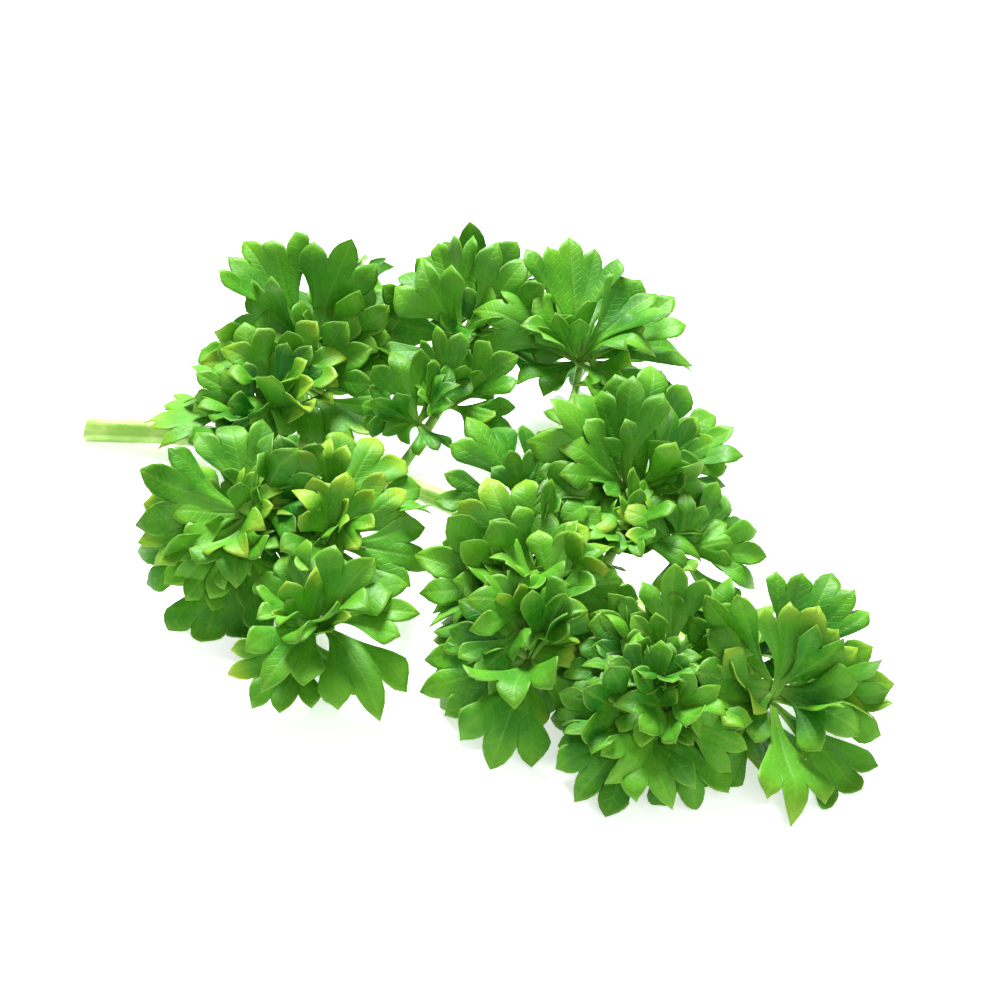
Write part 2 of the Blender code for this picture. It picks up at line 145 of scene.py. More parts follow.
def thin_triangles(points, triangles):
    """Which triangles have another close behind them that faces the other way, as a blade's have."""
    tree = BVHTree.FromPolygons(points.tolist(), triangles.tolist())
    a, b, c = points[triangles].transpose(1, 0, 2)
    normals = unit(np.cross(b - a, c - a))
    starts = (a + b + c) / 3 - 0.001 * MM * normals
    thin = []
    for start, normal in zip(starts, normals):
        _, other, _, _ = tree.ray_cast(Vector(start), Vector(-normal), 0.5 * MM)
        thin.append(other is not None and other.dot(Vector(normal)) < -0.8)
    return np.array(thin)


def groups(members, pairs):
    """The members, as lists of those that the pairs link to each other."""
    links = {int(m): [] for m in members}
    for a, b in pairs:
        links[int(a)].append(int(b))
        links[int(b)].append(int(a))
    found, seen = [], set()
    for first in links:
        if first in seen:
            continue
        group, waiting = [], [first]
        seen.add(first)
        while waiting:
            member = waiting.pop()
            group.append(member)
            fresh = {other for other in links[member] if other not in seen}
            seen |= fresh
            waiting += fresh
        found.append(group)
    return found


def read_leaflets():
    """The leaflets of the frame, as dicts of base, axes, radius, lobes, spread, step and cup.

    On each face of a blade, the points with thin triangles all round them are a ring at 0.36 of its
    radius. A circle through the ring gives the radius and the middle of the fan. The two points that
    most of the ring is joined to are the ends of its base, and those beyond it give the cup.
    """
    points, triangles = frame_mesh()
    thin = triangles[thin_triangles(points, triangles)]
    around = np.bincount(triangles.ravel(), minlength=len(points))
    inside = np.bincount(thin.ravel(), minlength=len(points)) >= np.maximum(around - 1, 1)
    edges = np.concatenate([thin[:, [0, 1]], thin[:, [1, 2]], thin[:, [2, 0]]])
    rings = groups(np.flatnonzero(inside), edges[inside[edges].all(axis=1)])
    rings = [ring for ring in rings if len(ring) >= 8]
    middles = np.array([points[ring].mean(axis=0) for ring in rings])
    leaflets, used = [], set()
    for k, ring in enumerate(rings):
        if k in used:
            continue
        apart = np.linalg.norm(middles - middles[k], axis=1)
        apart[[k, *used]] = np.inf
        twin = int(np.argmin(apart))
        if apart[twin] > 1.2 * MM:
            continue
        used |= {k, twin}
        faces = [face for face in (ring, rings[twin]) if len(face) in (14, 20, 26)]
        seen = [read_face(points, edges, face) for face in faces]
        leaflet = {key: np.mean([one[key] for one in seen], axis=0) for key in seen[0]}
        leaflet["lobes"] = round(leaflet["lobes"])
        leaflets.append(leaflet)
    leaflets.sort(key=lambda leaflet: leaflet["base"][0])
    return leaflets


def read_face(points, edges, ring):
    """One face's reading of a leaflet, moved to the middle of its thickness."""
    ring_points = points[ring]
    middle = ring_points.mean(axis=0)
    normal = np.linalg.svd(ring_points - middle)[2][2]
    normal *= np.sign(normal[2])
    across = unit(np.cross(normal, (0.0, 0.0, 1.0)) + np.array((1e-9, 0, 0)))
    plane = np.stack([across, np.cross(normal, across)])
    flat = (ring_points - middle) @ plane.T
    fit = np.linalg.lstsq(np.c_[2 * flat, np.ones(len(flat))], (flat**2).sum(axis=1), rcond=None)[0]
    centre = middle + fit[:2] @ plane
    circle = math.sqrt(fit[2] + fit[0] ** 2 + fit[1] ** 2)
    lobes = (len(ring) + 1) // 3
    ahead = unit(middle - centre)
    side = np.cross(normal, ahead)
    angles = np.arctan2((ring_points - centre) @ side, (ring_points - centre) @ ahead)
    touching = np.isin(edges, ring)
    beyond = edges[touching.any(axis=1) & ~touching.all(axis=1)]
    others, count = np.unique(beyond[~np.isin(beyond, ring)], return_counts=True)
    base = points[others[np.argsort(count)[-2:]]].mean(axis=0)
    radius = circle / 0.38
    outer = points[others]
    outer = outer[np.linalg.norm(outer - centre, axis=1) > 0.45 * radius]
    around = np.concatenate([ring_points, outer])
    height = (around - base) @ normal
    far = (((around - centre) @ plane.T) ** 2).sum(axis=1)
    step, cup = np.linalg.lstsq(np.c_[np.ones(len(far)), far / radius], height, rcond=None)[0]
    return {
        "base": base, "normal": normal, "ahead": ahead, "radius": radius, "lobes": float(lobes),
        "spread": np.abs(angles).max() / (1 - 0.46 / lobes), "step": step, "cup": cup,
    }


# Meshes


def new_object(name, points, faces, material, smooth=True):
    mesh = bpy.data.meshes.new(name)
    mesh.from_pydata(points.tolist(), [], faces.tolist())
    mesh.polygons.foreach_set("use_smooth", [smooth] * len(mesh.polygons))
    mesh.materials.append(material)
    made = bpy.data.objects.new(name, mesh)
    bpy.context.scene.collection.objects.link(made)
    return made


def add_values(made, name, values):
    """Writes one number or one vector for each point of the mesh."""
    kind, key = ("FLOAT", "value") if values.ndim == 1 else ("FLOAT_VECTOR", "vector")
    written = made.data.attributes.new(name, kind, "POINT")
    written.data.foreach_set(key, values.astype(np.float32).ravel())


def grid_faces(rows, columns):
    """Quads of a grid of points in rows, facing the side from which the columns run leftwards."""
    corner = np.arange(rows * columns).reshape(rows, columns)
    a, b, c, d = corner[:-1, :-1], corner[1:, :-1], corner[1:, 1:], corner[:-1, 1:]
    return np.stack([a, b, c, d], axis=-1).reshape(-1, 4)


# Leaflets


class Level:
    """The parts of a segment at one level, which are its lobes or its teeth. Each part has two side
    angles, the reach at which it parts from its neighbour on each side, and its own roll, keel and
    bend."""

    def __init__(self, sides, partings, rng, roll, keel, keel_spread, bend, bend_spread):
        self.sides, self.partings = np.array(sides), np.array(partings)
        size = len(sides) - 1
        self.roll = roll * rng.uniform(-1, 1, size)
        self.keel = keel + keel_spread * rng.uniform(-1, 1, size)
        self.bend = bend + bend_spread * rng.uniform(-1, 1, size)

    def part(self, angle):
        """The number of the part that an angle falls in."""
        return np.clip(np.searchsorted(self.sides, angle) - 1, 0, len(self.sides) - 2)

    def place(self, part, angle):
        """-1 on the part's right side, 0 on its middle line and 1 on its left side."""
        low, high = self.sides[part], self.sides[part + 1]
        return 2 * (angle - low) / (high - low) - 1

    def rise(self, part, angle, reach):
        """Height at that angle and share of the radius: nothing up to the parting, and beyond it
        width * (roll * p + keel * (p^2 - 0.3)) + bend * (reach - parting)^2, where p is the place."""
        p = self.place(part, angle)
        parting = self.partings[part] * (1 - p) / 2 + self.partings[part + 1] * (1 + p) / 2
        width = 0.5 * (self.sides[part + 1] - self.sides[part]) * reach
        past = np.maximum(reach - parting, 0)
        begun = smoothstep(0, 0.22, past)
        across = self.roll[part] * p + self.keel[part] * (p * p - 0.3)
        return begun * width * across + self.bend[part] * past**2


def split(low, high, shares, rng, jitter):
    """Sides between low and high whose widths are the shares, each a little off."""
    widths = np.array(shares, float) * (1 + jitter * rng.uniform(-1, 1, len(shares)))
    return low + (high - low) * np.concatenate([[0], np.cumsum(widths) / widths.sum()])


def turned(axes, turn, roll, pitch):
    """Axes turned about the normal, then rolled about the new way ahead, then pitched up."""
    ahead, side, normal = axes
    cos, sin = np.cos(turn), np.sin(turn)
    ahead, side = ahead * cos + side * sin, side * cos - ahead * sin
    cos, sin = np.cos(roll), np.sin(roll)
    side, normal = side * cos + normal * sin, normal * cos - side * sin
    cos, sin = np.cos(pitch), np.sin(pitch)
    ahead, normal = ahead * cos + normal * sin, normal * cos - ahead * sin
    return np.stack([ahead, side, normal])


def segments_of(leaflet, look, rng):
    """The segments of a leaflet, as axes, length, half angle and cup. They overlap a little, so each
    is rolled and pitched its own way. Four smaller ones stand up at its base, and one of them leans
    back over the stalk."""
    side = np.cross(leaflet["normal"], leaflet["ahead"])
    axes = np.stack([leaflet["ahead"], side, leaflet["normal"]])
    spread, radius, cup = leaflet["spread"], leaflet["radius"], leaflet["cup"]
    found = []
    lean = rng.choice((-1, 1))
    for turn, half, length in SEGMENTS[leaflet["lobes"]]:
        turn = turn * spread + 0.10 * rng.uniform(-1, 1)
        if abs(turn) > 0.3:
            roll = np.sign(turn) * lean * np.radians(rng.uniform(6, 42))
        else:
            roll = np.radians(rng.uniform(-18, 18))
        pitch = np.radians(rng.uniform(-14, 20))
        length = length * radius * (1 + 0.05 * rng.uniform(-1, 1))
        found.append((turned(axes, turn, roll * look.curl, pitch * look.curl), length, half * spread, cup))
    for turn in (1.15 * spread, -1.15 * spread, 0.15, math.pi):
        turn = turn + 0.4 * rng.uniform(-1, 1)
        pitch = np.radians(rng.uniform(14, 50))
        roll = np.radians(rng.uniform(-45, 45))
        length = radius * rng.uniform(0.62, 0.92)
        found.append((turned(axes, turn, roll, pitch), length, np.radians(rng.uniform(30, 42)), 0.10))
    return found


def tooth_levels(half, teeth, look, rng):
    """The lobes and the teeth of one segment."""
    shares = LOBES[teeth]
    sides = split(-half, half, shares, rng, 0.08)
    start = 0.74 + 0.06 * rng.uniform(-1, 1)
    lobe_partings = [start, *(look.lobe_notch + 0.05 * rng.uniform(-1, 1, len(shares) - 1)), start]
    tooth_sides, tooth_partings = [-half], [start]
    for j, share in enumerate(shares):
        inner = split(sides[j], sides[j + 1], (1,) * share, rng, 0.10)
        shallow = look.tooth_notch + 0.035 * rng.uniform(-1, 1, share - 1)
        tooth_sides += inner[1:].tolist()
        tooth_partings += [*shallow.tolist(), lobe_partings[j + 1]]
    curl = look.curl
    return (
        Level(sides, lobe_partings, rng, *(curl * amount for amount in LOBE_CURL)),
        Level(tooth_sides, tooth_partings, rng, *(curl * amount for amount in TOOTH_CURL)),
    )


def segment(leaflet, axes, length, half, cup, look, rng):
    """Points, outward faces and values of one segment, a closed thin sheet.

    On a grid of rays from the leaflet's base, a ray ends on the margin. Within a tooth at place p from
    -1 to 1, the margin is N + (T - N) * (1 - |p|^2.1)^0.62 and a little more at the middle for its point:
    N is the notch and T the tip. Rays close up towards the base, so that a segment starts narrow.
    Heights are step + cup * reach^2 + fold * |sideways|, and the rise of each lobe and tooth.
    """
    arc = 2 * half * length / look.tooth_width
    count = 3 if arc < 4.4 else 5 if arc < 7.5 else 7
    lobes, teeth = levels = tooth_levels(half, count, look, rng)
    even = np.linspace(-1, 1, COLUMNS, endpoint=False)
    p = 0.35 * even + 0.65 * np.sin(0.5 * np.pi * even)
    part = np.append(np.repeat(np.arange(count), COLUMNS), count - 1)
    place = np.append(np.tile(p, count), 1.0)
    low, high = teeth.sides[part], teeth.sides[part + 1]
    angle = low + (high - low) * (place + 1) / 2

    middles = 0.5 * (teeth.sides[:-1] + teeth.sides[1:])
    inner = np.abs(lobes.place(lobes.part(middles), middles))
    tips = (1.0 - 0.15 * (middles / half) ** 2) * (1 - 0.07 * inner) * (1 + 0.04 * rng.uniform(-1, 1, count))
    notch = teeth.partings[part] * (1 - place) / 2 + teeth.partings[part + 1] * (1 + place) / 2
    tip = np.maximum(tips[part], notch + 0.10)
    margin = notch + (tip - notch) * (1 - np.abs(place) ** 2.1) ** 0.62
    margin = margin + 0.028 * np.exp(-((place / 0.16) ** 2))

    share = np.linspace(0, 1, ROWS)[:, None] ** 0.9
    reach = share * margin
    past = np.clip((reach - notch) / (tip - notch), 0, 1)
    bulge = look.bulge * np.sin(np.pi * past) * place * 0.5 * (high - low)
    narrow = 0.30 + 0.70 * smoothstep(0.10, 0.80, reach)
    way = (angle + bulge) * narrow
    x = reach * np.cos(way) * length
    y = reach * np.sin(way) * length + (1 - share) * 0.3 * MM * angle / half
    full_angle = np.broadcast_to(angle, reach.shape)

    fold = look.curl * (rng.uniform(0.15, 0.55) if rng.uniform() < 0.6 else -rng.uniform(0.1, 0.45))
    z = leaflet["step"] * smoothstep(0.0, 0.35, reach) + cup * length * reach**2
    z = z + fold * (np.sqrt(y**2 + (0.12 * length * reach) ** 2) - 0.12 * length * reach)
    for level in levels:
        z = z + length * level.rise(level.part(angle), full_angle, reach)
    wave = rng.uniform(0, 2 * np.pi, 3)
    z = z + 0.075 * length * look.curl * reach**2 * np.sin(full_angle * 4.5 + wave[0])
    z = z + 0.012 * length * reach * np.sin(full_angle * 13 + wave[1] + 6 * reach)
    z = z + 0.03 * length * look.curl * reach * np.sin(5 * reach + wave[2])
    # Each tooth's middle vein lies in a shallow groove.
    off_vein = np.abs(place) * 0.5 * (high - low) * narrow * np.maximum(reach, 0.02) * length
    z = z - 0.035 * MM * np.exp(-((off_vein / (0.16 * MM)) ** 2)) * smoothstep(0.1, 0.4, reach)

    middle = leaflet["base"] + np.stack([x, y, z], axis=-1) @ axes
    rest = 0.25 * MM
    above = middle[..., 2] - rest
    middle[..., 2] = rest + 0.5 * (above + np.sqrt(above**2 + (0.5 * MM) ** 2))

    normals = unit(np.cross(np.gradient(middle, axis=0), np.gradient(middle, axis=1)))
    steep = np.gradient(margin) / np.maximum(np.gradient(angle), 1e-6) / np.maximum(margin, 0.1)
    edge = np.maximum(margin - reach, 0) * length / np.sqrt(1 + np.minimum(np.abs(steep), 8) ** 2)
    edge = np.minimum(edge, np.minimum(angle + half, half - angle) * reach * length + 0 * edge)
    edge[-1] = 0
    thick = (0.5 * look.thickness * (0.35 + 0.65 * smoothstep(0, 0.5 * MM, edge)))[..., None]
    upper, lower = middle + thick * normals, middle - thick * normals

    rows, columns = reach.shape
    size = rows * columns
    faces = grid_faces(rows, columns)
    corner = np.arange(size).reshape(rows, columns)
    rim = np.concatenate([corner[0, :-1], corner[:-1, -1], corner[-1, :0:-1], corner[:0:-1, 0]])
    after = np.roll(rim, -1)
    walls = np.stack([rim, after, after + size, rim + size], axis=-1)
    faces = np.concatenate([faces, faces[:, ::-1] + size, walls])

    main = part == count // 2
    leader = inner[part] < 0.3
    start = np.where(main, 0.0, np.where(leader, 0.12, 0.38))
    vein = smoothstep(start, start + 0.12, reach) * (0.5 + 0.5 * main)
    sheet = np.stack([off_vein / MM, edge / MM, vein], axis=-1).reshape(-1, 3)
    run = np.stack([off_vein / MM, reach * length / MM, reach], axis=-1).reshape(-1, 3)
    points = np.concatenate([upper.reshape(-1, 3), lower.reshape(-1, 3)])
    return points, faces, np.tile(sheet, (2, 1)), np.tile(run, (2, 1)), np.repeat([1.0, 0.0], size)


# Stem and stalks


def smooth_line(points, steps):
    """A rounded line through all the points: cubic pieces whose slope at a point is half the way
    between its two neighbours."""
    points = np.array(points)
    points = np.concatenate([[2 * points[0] - points[1]], points, [2 * points[-1] - points[-2]]])
    t = (np.arange(steps) / steps)[None, :, None]
    a, b, c, d = (points[k : len(points) - 3 + k, None] for k in range(4))
    line = 0.5 * (2 * b + (c - a) * t + (2 * a - 5 * b + 4 * c - d) * t**2 + (3 * b - a - 3 * c + d) * t**3)
    return np.concatenate([line.reshape(-1, 3), points[-2:-1]])


def at_share(line, share):
    """The point at this share of a line's length."""
    steps = np.linalg.norm(np.diff(line, axis=0), axis=1)
    reached = np.concatenate([[0], np.cumsum(steps)]) / steps.sum()
    return np.array([np.interp(share, reached, line[:, k]) for k in range(3)])


def rod_lines():
    """The middle lines of the stem and the stalks. The stem's cut end in the frame sets their place."""
    points = [
        (share * STEM_LENGTH, side * MM, STEM_RADIUS + rise * STEM_ARCH) for share, side, rise in STEM_LINE
    ]
    stem = smooth_line(points, 8)
    mesh = frame_mesh()[0]
    cut = mesh[mesh[:, 0] < mesh[:, 0].min() + 1.0 * MM].mean(axis=0)
    stem += cut - (stem[0] + 0.5 * STEM_RADIUS * unit(stem[1] - stem[0]))
    lines = {"stem": stem}
    for name, (parent, share, way) in STALKS.items():
        start = at_share(lines[parent], share)
        lines[name] = smooth_line([start, *(start + np.array(step) * MM for step in way)], 8)
    return lines


def tube(line, radii, sides, ribs, rib_height, slant=0.0):
    """Points and faces of a closed tube along a line. At the angle f round it, the radius is
    r * (1 - height * (1 - cos(ribs * f)) / 2). A slant tips its first ring, and both ends close in a
    dome. Nothing goes below the surface."""
    along = unit(np.gradient(line, axis=0))
    up = np.array((0.0, 0.0, 1.0))
    side = unit(np.cross(along, up))
    top = np.cross(side, along)
    angle = np.linspace(0, 2 * np.pi, sides, endpoint=False)
    shape = 1 - 0.5 * rib_height * (1 - np.cos(ribs * angle))
    flat = side[:, None] * np.cos(angle)[None, :, None] + top[:, None] * np.sin(angle)[None, :, None]
    body = line[:, None] + flat * (radii[:, None, None] * shape[None, :, None])
    if slant:
        body[0] += along[0] * (slant * radii[0] * np.sin(angle))[:, None]
    first = line[0] + (body[0] - line[0]) * np.array([0.93, 0.6, 0.25])[:, None, None]
    first = first - along[0] * radii[0] * np.array([0.05, 0.06, 0.03])[:, None, None]
    last = line[-1] + (body[-1] - line[-1]) * np.array([0.8, 0.4])[:, None, None]
    last = last + along[-1] * radii[-1] * np.array([0.5, 0.8])[:, None, None]
    body = np.concatenate([first[::-1], body, last])
    ends = np.array([line[0], line[-1] + along[-1] * radii[-1]])
    rings = len(body)
    corner = np.arange(rings * sides).reshape(rings, sides)
    around = np.roll(corner, -1, axis=1)
    quads = np.stack([corner[:-1], corner[1:], around[1:], around[:-1]], axis=-1).reshape(-1, 4)
    size = rings * sides
    caps = [[size, a, b] for a, b in zip(corner[0], around[0])]
    caps += [[size + 1, b, a] for a, b in zip(corner[-1], around[-1])]
    points = np.concatenate([body.reshape(-1, 3), ends])
    points[:, 2] = np.maximum(points[:, 2], 0.0)
    return points, quads.tolist() + caps


def add_tubes(name, tubes, material):
    """One object from several tubes, with their faces turned outwards."""
    points, faces, start = [], [], 0
    for tube_points, tube_faces in tubes:
        points.append(tube_points)
        faces += [[start + k for k in face] for face in tube_faces]
        start += len(tube_points)
    mesh = bpy.data.meshes.new(name)
    mesh.from_pydata(np.concatenate(points).tolist(), [], faces)
    turned = bmesh.new()
    turned.from_mesh(mesh)
    bmesh.ops.recalc_face_normals(turned, faces=turned.faces)
    turned.to_mesh(mesh)
    turned.free()
    mesh.polygons.foreach_set("use_smooth", [True] * len(mesh.polygons))
    mesh.materials.append(material)
    made = bpy.data.objects.new(name, mesh)
    bpy.context.scene.collection.objects.link(made)
    return made


# Materials


class Nodes:
    """Adds nodes to a tree, each in its own place, and links values or sockets to its inputs."""

    def __init__(self, tree):
        self.tree, self.count = tree, 0

    def add(self, kind, inputs=None, **settings):
        node = self.tree.nodes.new(kind)
        node.location = (180 * (self.count % 8) - 900, -260 * (self.count // 8))
        self.count += 1
        for name, value in settings.items():
            setattr(node, name, value)
        for name, value in (inputs or {}).items():
            socket = node.inputs[name]
            if isinstance(value, bpy.types.NodeSocket):
                self.tree.links.new(value, socket)
            else:
                socket.default_value = value
        return node

    def maths(self, operation, a, b=0.0, clamp=False):
        return self.add("ShaderNodeMath", {0: a, 1: b}, operation=operation, use_clamp=clamp).outputs[0]

    def ramp(self, value, low, high):
        """0 at low and 1 at high, clamped. Low may be the greater."""
        made = self.add("ShaderNodeMapRange", {"Value": value, "From Min": low, "From Max": high})
        made.interpolation_type = "SMOOTHSTEP"
        return made.outputs["Result"]

    def mix(self, share, a, b):
        made = self.add("ShaderNodeMix", data_type="RGBA")
        for socket, value in zip((made.inputs[0], made.inputs[6], made.inputs[7]), (share, a, b)):
            if isinstance(value, bpy.types.NodeSocket):
                self.tree.links.new(value, socket)
            else:
                socket.default_value = value
        return made.outputs[2]


def plant_group():
    """A shader group for all green surfaces: blotches from noise in Object coordinates, which mix a
    light and a dark green, and a fine grain for the bump."""
    group = bpy.data.node_groups.new("parsley_flesh", "ShaderNodeTree")
    takes = (("Light", "NodeSocketColor"), ("Dark", "NodeSocketColor"), ("Scale", "NodeSocketFloat"))
    for name, kind in takes:
        group.interface.new_socket(name, in_out="INPUT", socket_type=kind)
    for name, kind in (("Color", "NodeSocketColor"), ("Grain", "NodeSocketFloat")):
        group.interface.new_socket(name, in_out="OUTPUT", socket_type=kind)
    nodes = Nodes(group)
    start, end = nodes.add("NodeGroupInput"), nodes.add("NodeGroupOutput")
    place = nodes.add("ShaderNodeTexCoord").outputs["Object"]
    blotch = nodes.add(
        "ShaderNodeTexNoise", {"Vector": place, "Scale": start.outputs["Scale"], "Detail": 4.0, "Roughness": 0.6}
    )
    grain = nodes.add("ShaderNodeTexNoise", {"Vector": place, "Scale": 2600.0, "Detail": 2.0})
    share = nodes.ramp(blotch.outputs["Fac"], 0.36, 0.66)
    colour = nodes.mix(share, start.outputs["Dark"], start.outputs["Light"])
    group.links.new(colour, end.inputs["Color"])
    group.links.new(grain.outputs["Fac"], end.inputs["Grain"])
    return group


def leaf_material(look):
    """Leaf: blotched green, paler on veins, margins, tips and the underside, and light comes through."""
    made = bpy.data.materials.new("parsley_leaf")
    made.use_nodes = True
    made.diffuse_color = (0.13, 0.36, 0.05, 1)
    tree = made.node_tree
    tree.nodes.clear()
    nodes = Nodes(tree)
    flesh = nodes.add("ShaderNodeGroup", node_tree=bpy.data.node_groups["parsley_flesh"])
    flesh.inputs["Light"].default_value = (*look.light_green, 1)
    flesh.inputs["Dark"].default_value = (*look.dark_green, 1)
    flesh.inputs["Scale"].default_value = 130.0
    sheet = nodes.add("ShaderNodeAttribute", attribute_name="leaf_sheet").outputs["Vector"]
    sheet = nodes.add("ShaderNodeSeparateXYZ", {0: sheet})
    run = nodes.add("ShaderNodeAttribute", attribute_name="leaf_run").outputs["Vector"]
    run = nodes.add("ShaderNodeSeparateXYZ", {0: run})
    tint = nodes.add("ShaderNodeAttribute", attribute_name="leaf_tint").outputs["Fac"]
    top = nodes.add("ShaderNodeAttribute", attribute_name="leaf_top").outputs["Fac"]
    off_vein, edge, vein = sheet.outputs
    across, along, reach = run.outputs

    line = nodes.maths("MULTIPLY", nodes.ramp(off_vein, 0.26, 0.06), vein)
    # Fine side veins run forwards from each middle vein.
    slant = nodes.maths("SUBTRACT", along, nodes.maths("MULTIPLY", across, 0.9))
    stripe = nodes.maths("SINE", nodes.maths("MULTIPLY", slant, 7.5))
    stripe = nodes.ramp(stripe, 0.72, 1.0)
    stripe = nodes.maths("MULTIPLY", stripe, nodes.ramp(edge, 0.15, 0.8))
    colour = nodes.mix(nodes.maths("MULTIPLY", tint, 0.65), flesh.outputs["Color"], (*look.light_green, 1))
    yellow = nodes.maths("ADD", nodes.maths("MULTIPLY", nodes.ramp(tint, 0.80, 0.98), 0.65), 0.12)
    young = nodes.maths("MULTIPLY", nodes.ramp(reach, 0.70, 1.05), yellow)
    colour = nodes.mix(young, colour, (*look.tip_green, 1))
    heart = nodes.maths("MULTIPLY", nodes.ramp(reach, 0.30, 0.04), 0.6)
    colour = nodes.mix(heart, colour, (*look.vein_green, 1))
    colour = nodes.mix(nodes.maths("MULTIPLY", stripe, 0.12), colour, (*look.vein_green, 1))
    colour = nodes.mix(nodes.maths("MULTIPLY", line, 0.20), colour, (*look.vein_green, 1))
    rim = nodes.maths("MULTIPLY", nodes.ramp(edge, 0.14, 0.02), 0.30)
    colour = nodes.mix(rim, colour, (*look.edge_green, 1))
    under = nodes.maths("MULTIPLY", nodes.maths("SUBTRACT", 1.0, top), 0.35)
    colour = nodes.mix(under, colour, (*look.under_green, 1))

    height = nodes.maths("MULTIPLY", line, -0.5)
    height = nodes.maths("SUBTRACT", height, nodes.maths("MULTIPLY", stripe, 0.35))
    height = nodes.maths("ADD", height, nodes.maths("MULTIPLY", flesh.outputs["Grain"], 0.5))
    bump = nodes.add("ShaderNodeBump", {"Strength": 0.55, "Distance": 0.00012, "Height": height})
    rough = nodes.maths("ADD", nodes.maths("MULTIPLY", flesh.outputs["Grain"], 0.25), 0.36)
    shader = nodes.add(
        "ShaderNodeBsdfPrincipled", {"Base Color": colour, "Roughness": rough, "Normal": bump.outputs["Normal"]}
    )
    shader.inputs["Specular IOR Level"].default_value = 0.24
    lit = nodes.mix(0.5, colour, (*look.through_green, 1))
    through = nodes.add("ShaderNodeBsdfTranslucent", {"Color": lit})
    parts = {0: look.see_through, 1: shader.outputs[0], 2: through.outputs[0]}
    both = nodes.add("ShaderNodeMixShader", parts)
    out = nodes.add("ShaderNodeOutputMaterial")
    tree.links.new(both.outputs[0], out.inputs["Surface"])
    return made


def stem_material(name, light, dark):
    """Stem: pale green with long streaks, satin, a little light through its flesh."""
    made = bpy.data.materials.new(name)
    made.use_nodes = True
    made.diffuse_color = (*light, 1)
    tree = made.node_tree
    tree.nodes.clear()
    nodes = Nodes(tree)
    flesh = nodes.add("ShaderNodeGroup", node_tree=bpy.data.node_groups["parsley_flesh"])
    flesh.inputs["Light"].default_value = (*light, 1)
    flesh.inputs["Dark"].default_value = (*dark, 1)
    flesh.inputs["Scale"].default_value = 220.0
    place = nodes.add("ShaderNodeTexCoord").outputs["Object"]
    longer = nodes.add("ShaderNodeMapping", {"Vector": place})
    longer.inputs["Scale"].default_value = (0.06, 1.0, 1.0)
    streaks = nodes.add("ShaderNodeTexNoise", {"Vector": longer.outputs[0], "Scale": 2600.0, "Detail": 3.0})
    streak = nodes.ramp(streaks.outputs["Fac"], 0.45, 0.7)
    colour = nodes.mix(nodes.maths("MULTIPLY", streak, 0.4), flesh.outputs["Color"], (*dark, 1))
    grain = nodes.maths("MULTIPLY", flesh.outputs["Grain"], 0.3)
    height = nodes.maths("ADD", nodes.maths("MULTIPLY", streak, -0.6), grain)
    bump = nodes.add("ShaderNodeBump", {"Strength": 0.4, "Distance": 0.0001, "Height": height})
    rough = nodes.maths("ADD", nodes.maths("MULTIPLY", flesh.outputs["Grain"], 0.2), 0.28)
    shader = nodes.add(
        "ShaderNodeBsdfPrincipled", {"Base Color": colour, "Roughness": rough, "Normal": bump.outputs["Normal"]}
    )
    through = nodes.add("ShaderNodeBsdfTranslucent", {"Color": colour})
    both = nodes.add("ShaderNodeMixShader", {0: 0.12, 1: shader.outputs[0], 2: through.outputs[0]})
    out = nodes.add("ShaderNodeOutputMaterial")
    tree.links.new(both.outputs[0], out.inputs["Surface"])
    return made


def plain_material(name, colour, roughness, glow):
    """A material of one colour that gives off a little white light of its own."""
    made = bpy.data.materials.new(name)
    made.use_nodes = True
    shader = made.node_tree.nodes["Principled BSDF"]
    shader.inputs["Base Color"].default_value = (*colour, 1)
    shader.inputs["Roughness"].default_value = roughness
    shader.inputs["Emission Color"].default_value = (1, 1, 1, 1)
    shader.inputs["Emission Strength"].default_value = glow
    return made


# Settings


def colour_setting(name, description, default):
    """A colour that the panel shows."""
    return bpy.props.FloatVectorProperty(
        name=name, description=description, subtype="COLOR", size=3, min=0, max=1, default=default
    )


class LeafSettings(bpy.types.PropertyGroup):
    """Shape and colour of the leaflets."""

    thickness: bpy.props.FloatProperty(
        name="Thickness",
        description="Thickness of a leaflet away from its margin",
        unit="LENGTH",
        default=0.24 * MM,
    )
    curl: bpy.props.FloatProperty(
        name="Curl", description="How strongly segments, lobes and teeth fold and curl", default=1.0
    )
    tooth_width: bpy.props.FloatProperty(
        name="Tooth width", description="Aimed-for width of a tooth", unit="LENGTH", default=3.2 * MM
    )
    bulge: bpy.props.FloatProperty(
        name="Bulge", description="How much a tooth widens above its notches", default=0.16
    )
    lobe_notch: bpy.props.FloatProperty(
        name="Lobe notch", description="Where lobes part, as a share of the length", default=0.70
    )
    tooth_notch: bpy.props.FloatProperty(
        name="Tooth notch", description="Where teeth part, as a share of the length", default=0.85
    )
    see_through: bpy.props.FloatProperty(
        name="See-through", description="Share of the light that passes through a leaflet", default=0.24
    )
    light_green: colour_setting("Light green", "Colour of the lighter blotches", (0.105, 0.37, 0.016))
    dark_green: colour_setting("Dark green", "Colour of the darker blotches", (0.008, 0.15, 0.004))
    tip_green: colour_setting("Tip green", "Colour towards the tips", (0.38, 0.52, 0.03))
    vein_green: colour_setting("Vein green", "Colour of the veins and the heart", (0.24, 0.48, 0.06))
    edge_green: colour_setting("Edge green", "Colour of the thin margin", (0.36, 0.54, 0.09))
    under_green: colour_setting("Underside", "Colour of the lower face", (0.06, 0.28, 0.02))
    through_green: colour_setting("Light through", "Colour of light that comes through", (0.09, 0.48, 0.008))


